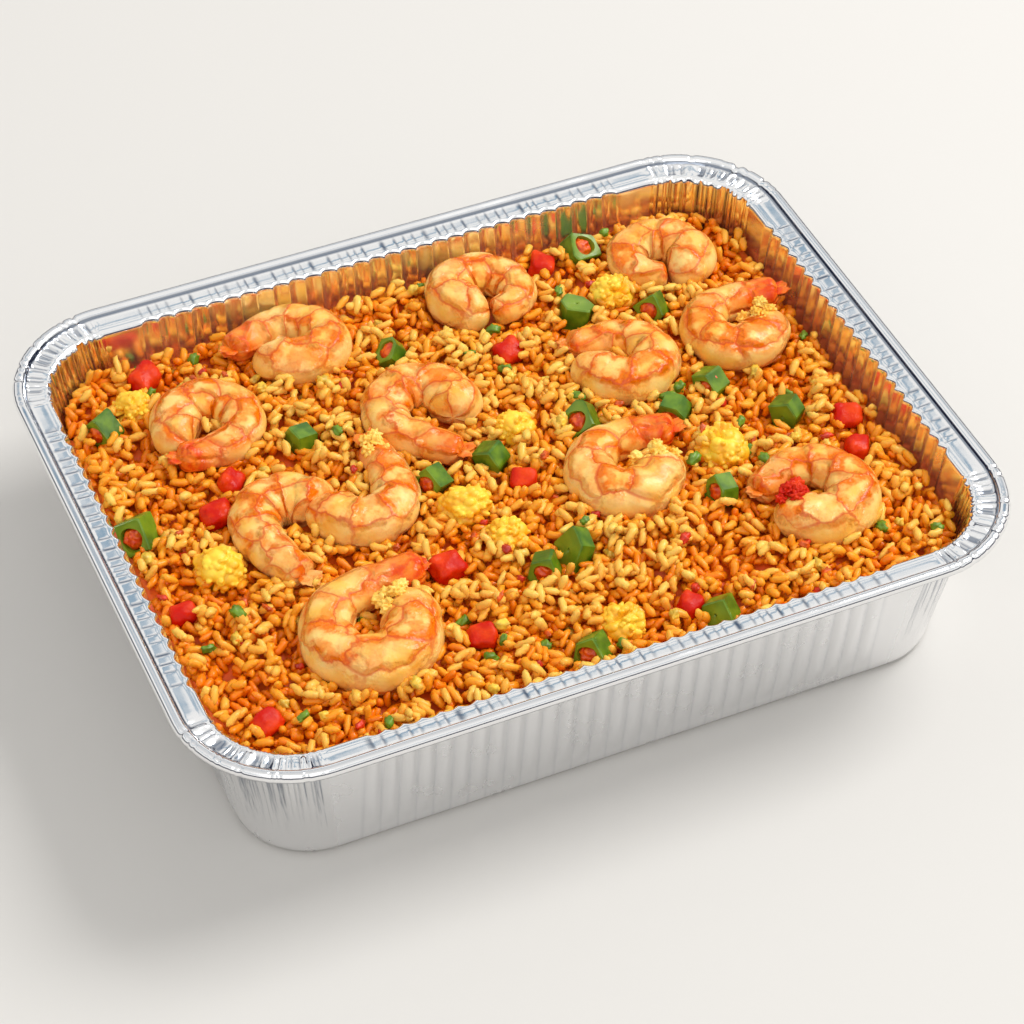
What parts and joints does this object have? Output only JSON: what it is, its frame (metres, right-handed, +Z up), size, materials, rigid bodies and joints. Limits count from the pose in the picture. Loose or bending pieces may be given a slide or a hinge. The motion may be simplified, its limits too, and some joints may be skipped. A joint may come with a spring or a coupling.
{
  "type": "tray of shrimp fried rice",
  "caption": "Shrimp fried rice heaped in a fluted rectangular foil tray with a curled rim, topped with curled shrimps, green slices, red pepper dice and scrambled egg",
  "frame": {"origin": "centre of the tray's underside, on the surface that it stands on", "axes": "+X along the tray's long side, +Y across it to the far long side, +Z up out of the tray's mouth"},
  "size_m": [0.324, 0.262, 0.07],
  "materials": {
    "foil": "bright pressed foil",
    "cooked_rice": "moist orange cooked grains",
    "shrimp_flesh": "moist cooked shrimp with orange bands",
    "green_vegetable": "moist cut green vegetable",
    "red_pepper": "wet red pepper",
    "scrambled_egg": "moist curdled egg"
  },
  "bodies": {
    "root": {"foil_tray": "foil", "rice_heap": "cooked_rice", "shrimp_1": "shrimp_flesh", "shrimp_2": "shrimp_flesh", "shrimp_3": "shrimp_flesh", "shrimp_4": "shrimp_flesh", "shrimp_5": "shrimp_flesh", "shrimp_6": "shrimp_flesh", "shrimp_7": "shrimp_flesh", "shrimp_8": "shrimp_flesh", "shrimp_9": "shrimp_flesh", "shrimp_10": "shrimp_flesh", "shrimp_11": "shrimp_flesh", "shrimp_12": "shrimp_flesh", "green_1": "green_vegetable", "green_2": "green_vegetable", "green_3": "green_vegetable", "green_4": "green_vegetable", "green_5": "green_vegetable", "green_6": "green_vegetable", "green_7": "green_vegetable", "green_8": "green_vegetable", "green_9": "green_vegetable", "green_10": "green_vegetable", "green_11": "green_vegetable", "green_12": "green_vegetable", "green_13": "green_vegetable", "green_14": "green_vegetable", "green_15": "green_vegetable", "green_16": "green_vegetable", "green_17": "green_vegetable", "green_18": "green_vegetable", "red_1": "red_pepper", "red_2": "red_pepper", "red_3": "red_pepper", "red_4": "red_pepper", "red_5": "red_pepper", "red_6": "red_pepper", "red_7": "red_pepper", "red_8": "red_pepper", "red_9": "red_pepper", "red_10": "red_pepper", "red_11": "red_pepper", "red_12": "red_pepper", "red_13": "red_pepper", "egg_1": "scrambled_egg", "egg_2": "scrambled_egg", "egg_3": "scrambled_egg", "egg_4": "scrambled_egg", "egg_5": "scrambled_egg", "egg_6": "scrambled_egg", "egg_7": "scrambled_egg", "egg_8": "scrambled_egg"}
  },
  "joints": []
}
